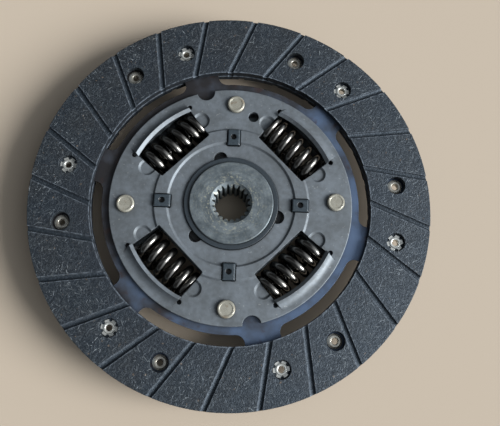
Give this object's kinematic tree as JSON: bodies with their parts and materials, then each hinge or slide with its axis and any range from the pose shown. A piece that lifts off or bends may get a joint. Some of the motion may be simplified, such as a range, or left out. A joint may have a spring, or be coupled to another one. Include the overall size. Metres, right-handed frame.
{
  "type": "clutch disc",
  "caption": "Round friction disc with grooved facings riveted to a spring steel cushion plate, and a splined hub sprung in a torsion damper between two pressed covers.",
  "frame": {"origin": "on the disc's axis, at the foot of the long end of the hub", "axes": "+Z along the disc's axis towards the flywheel side, +X midway between two spring windows"},
  "size_m": [0.2, 0.2, 0.0215],
  "materials": {
    "facing": "moulded friction compound, matt, with short light fibres",
    "cushion_steel": "heat-blued spring steel",
    "cover_steel": "grey phosphated pressed steel",
    "hub_steel": "turned forged steel",
    "bush_polymer": "dark moulded bush",
    "lug_polymer": "dark moulded friction ring",
    "pin_zinc": "zinc plated, slightly yellow",
    "rivet_zinc": "zinc plated tubular rivets",
    "spring_steel": "glossy black coated spring wire",
    "washer_steel": "plain steel"
  },
  "bodies": {
    "disc": {"cone_spring": "washer_steel", "cover_plate_front": "cover_steel", "cover_plate_rear": "cover_steel", "cushion_plate": "cushion_steel", "facing_front": "facing", "facing_rear": "facing", "facing_rivet_front_1": "rivet_zinc", "facing_rivet_front_2": "rivet_zinc", "facing_rivet_front_3": "rivet_zinc", "facing_rivet_front_4": "rivet_zinc", "facing_rivet_front_5": "rivet_zinc", "facing_rivet_front_6": "rivet_zinc", "facing_rivet_rear_1": "rivet_zinc", "facing_rivet_rear_2": "rivet_zinc", "facing_rivet_rear_3": "rivet_zinc", "facing_rivet_rear_4": "rivet_zinc", "facing_rivet_rear_5": "rivet_zinc", "facing_rivet_rear_6": "rivet_zinc", "friction_ring": "lug_polymer", "friction_washer": "washer_steel", "hub_bush": "bush_polymer", "stop_pin_1": "pin_zinc", "stop_pin_2": "pin_zinc", "stop_pin_3": "pin_zinc", "stop_pin_4": "pin_zinc"},
    "hub": {"hub": "hub_steel"},
    "springs": {"torsion_spring_1": "spring_steel", "torsion_spring_2": "spring_steel", "torsion_spring_3": "spring_steel", "torsion_spring_4": "spring_steel", "inner_spring_1": "spring_steel", "inner_spring_2": "spring_steel"}
  },
  "joints": [
    {"name": "damper_twist", "type": "hinge", "parent": "disc", "child": "hub", "pos_m": [0, 0, 0.0122], "axis": [0, 0, 1], "range_deg": [-7, 9], "stiffness_Nm_per_rad": 20, "deforming": ["torsion_spring_1", "torsion_spring_2", "torsion_spring_3", "torsion_spring_4", "inner_spring_1", "inner_spring_2"]},
    {"name": "spring_travel", "type": "hinge", "parent": "disc", "child": "springs", "pos_m": [0, 0, 0.0122], "axis": [0, 0, 1], "range_deg": [-3.5, 4.5]}
  ],
  "couplings": [
    {"joint": "spring_travel", "follows": "damper_twist", "ratio": 0.5}
  ]
}
